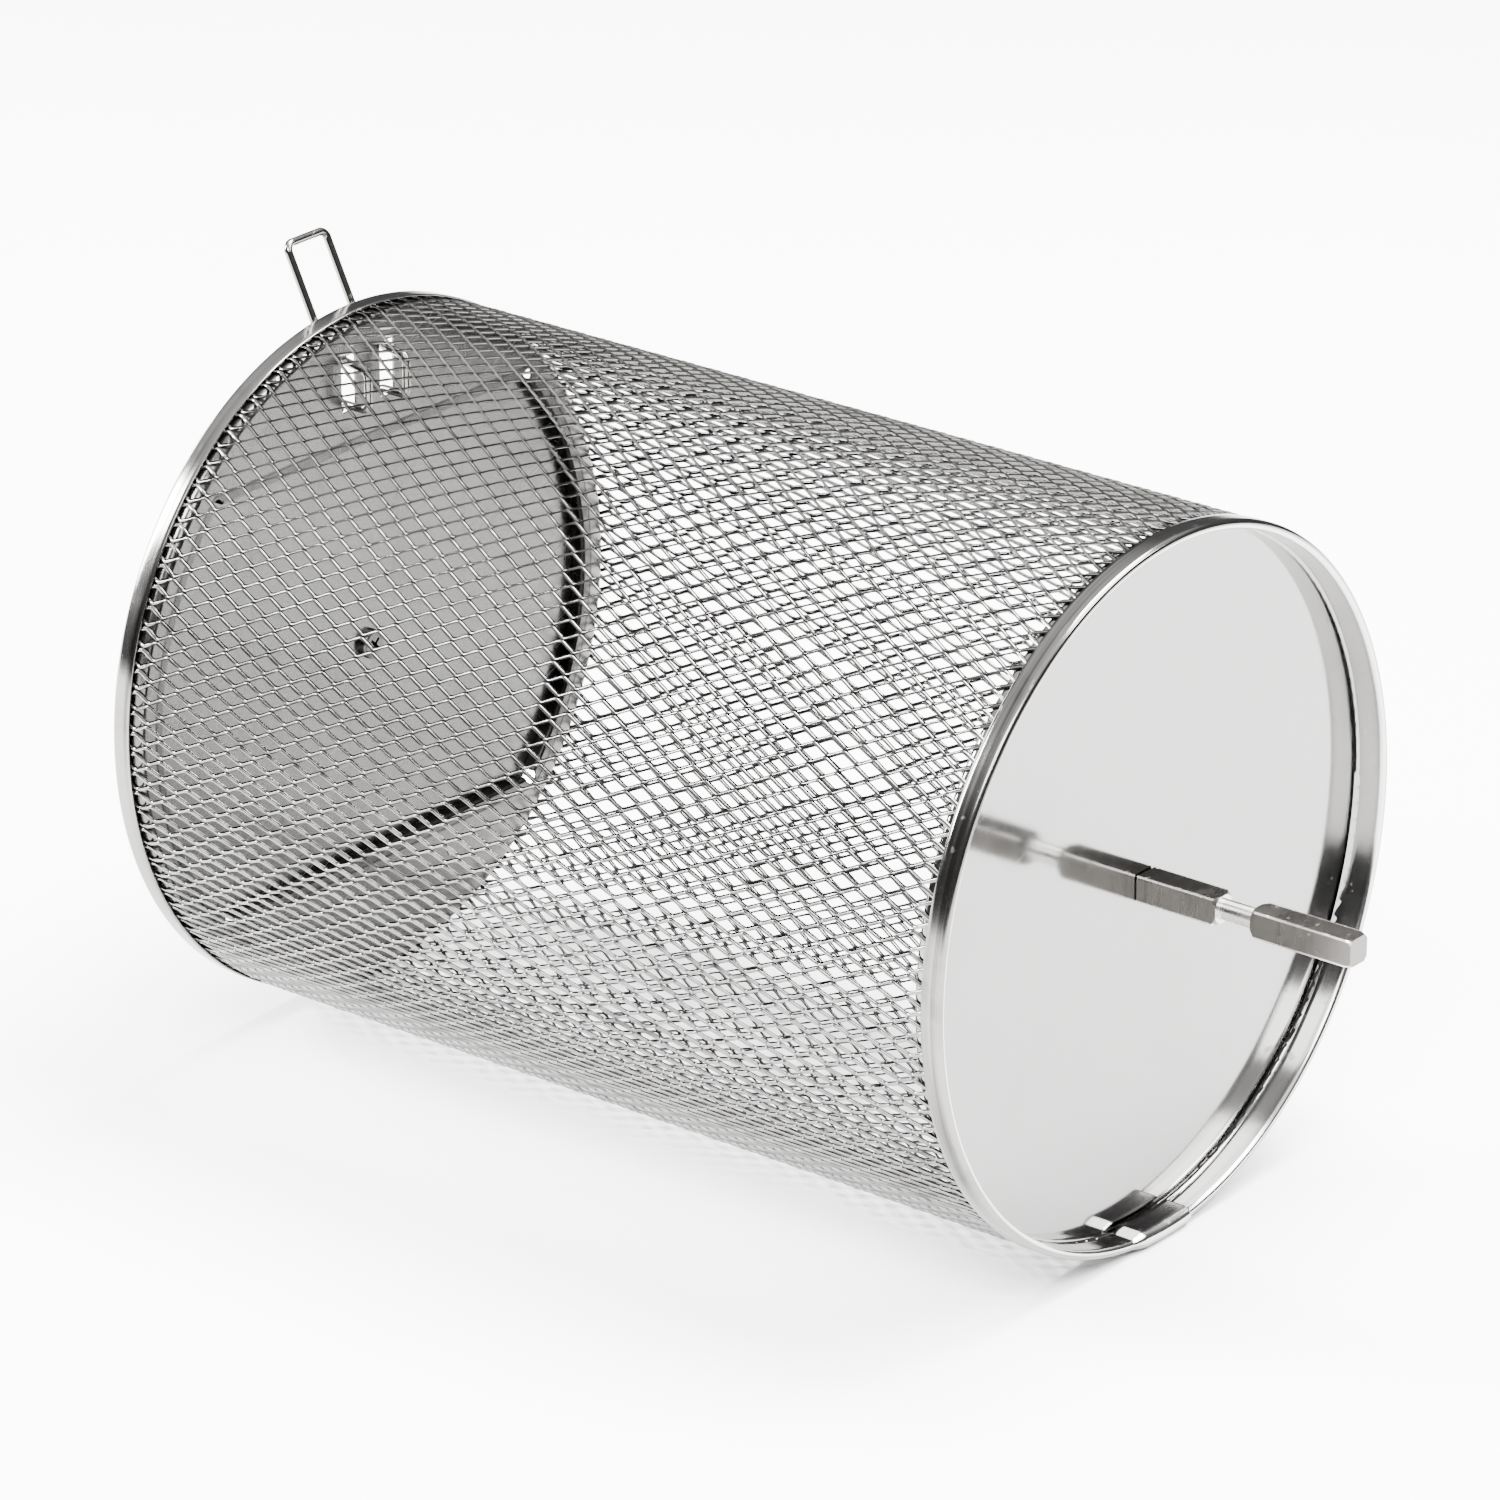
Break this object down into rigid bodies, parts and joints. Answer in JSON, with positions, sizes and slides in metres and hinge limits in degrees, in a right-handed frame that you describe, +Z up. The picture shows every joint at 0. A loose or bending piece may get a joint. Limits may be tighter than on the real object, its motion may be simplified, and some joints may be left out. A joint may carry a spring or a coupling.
{
  "type": "rotisserie basket",
  "caption": "Mesh roasting drum with folded rim hoops, a solid end plate with a necked square drive axle, and a hinged end door held shut by a sprung wire catch.",
  "frame": {"origin": "on the drum's axis of rotation, at the outer face of the drive-end plate, where the square axle leaves it", "axes": "+X along the axis of rotation, out of the drive end; +Z up, through the door's catch; the door is at -X and its hinge is at the bottom"},
  "size_m": [0.3875, 0.212, 0.2321],
  "materials": {
    "mesh_steel": "gloss",
    "rim_steel": "satin",
    "plate_steel": "polished",
    "door_steel": "satin",
    "axle_steel": "satin",
    "screw_steel": "gloss",
    "hinge_steel": "satin",
    "wire_steel": "polished"
  },
  "bodies": {
    "basket": {"mesh_shell": "mesh_steel", "drive_end_rim": "rim_steel", "drive_end_plate": "plate_steel", "drive_axle": "axle_steel", "drive_axle_screw": "screw_steel", "door_end_rim": "rim_steel", "door_end_plate": "plate_steel", "hinge_leaf": "hinge_steel", "hinge_rivets": "hinge_steel", "hinge_pin": "hinge_steel"},
    "door": {"door_panel": "door_steel", "door_stub_axle": "axle_steel", "door_stub_screw": "screw_steel", "wire_catch": "wire_steel"}
  },
  "joints": [
    {"name": "door_hinge", "type": "hinge", "parent": "basket", "child": "door", "pos_m": [-0.28325, 0, -0.0692], "axis": [0, -1, 0], "range_deg": [0, 90]}
  ]
}
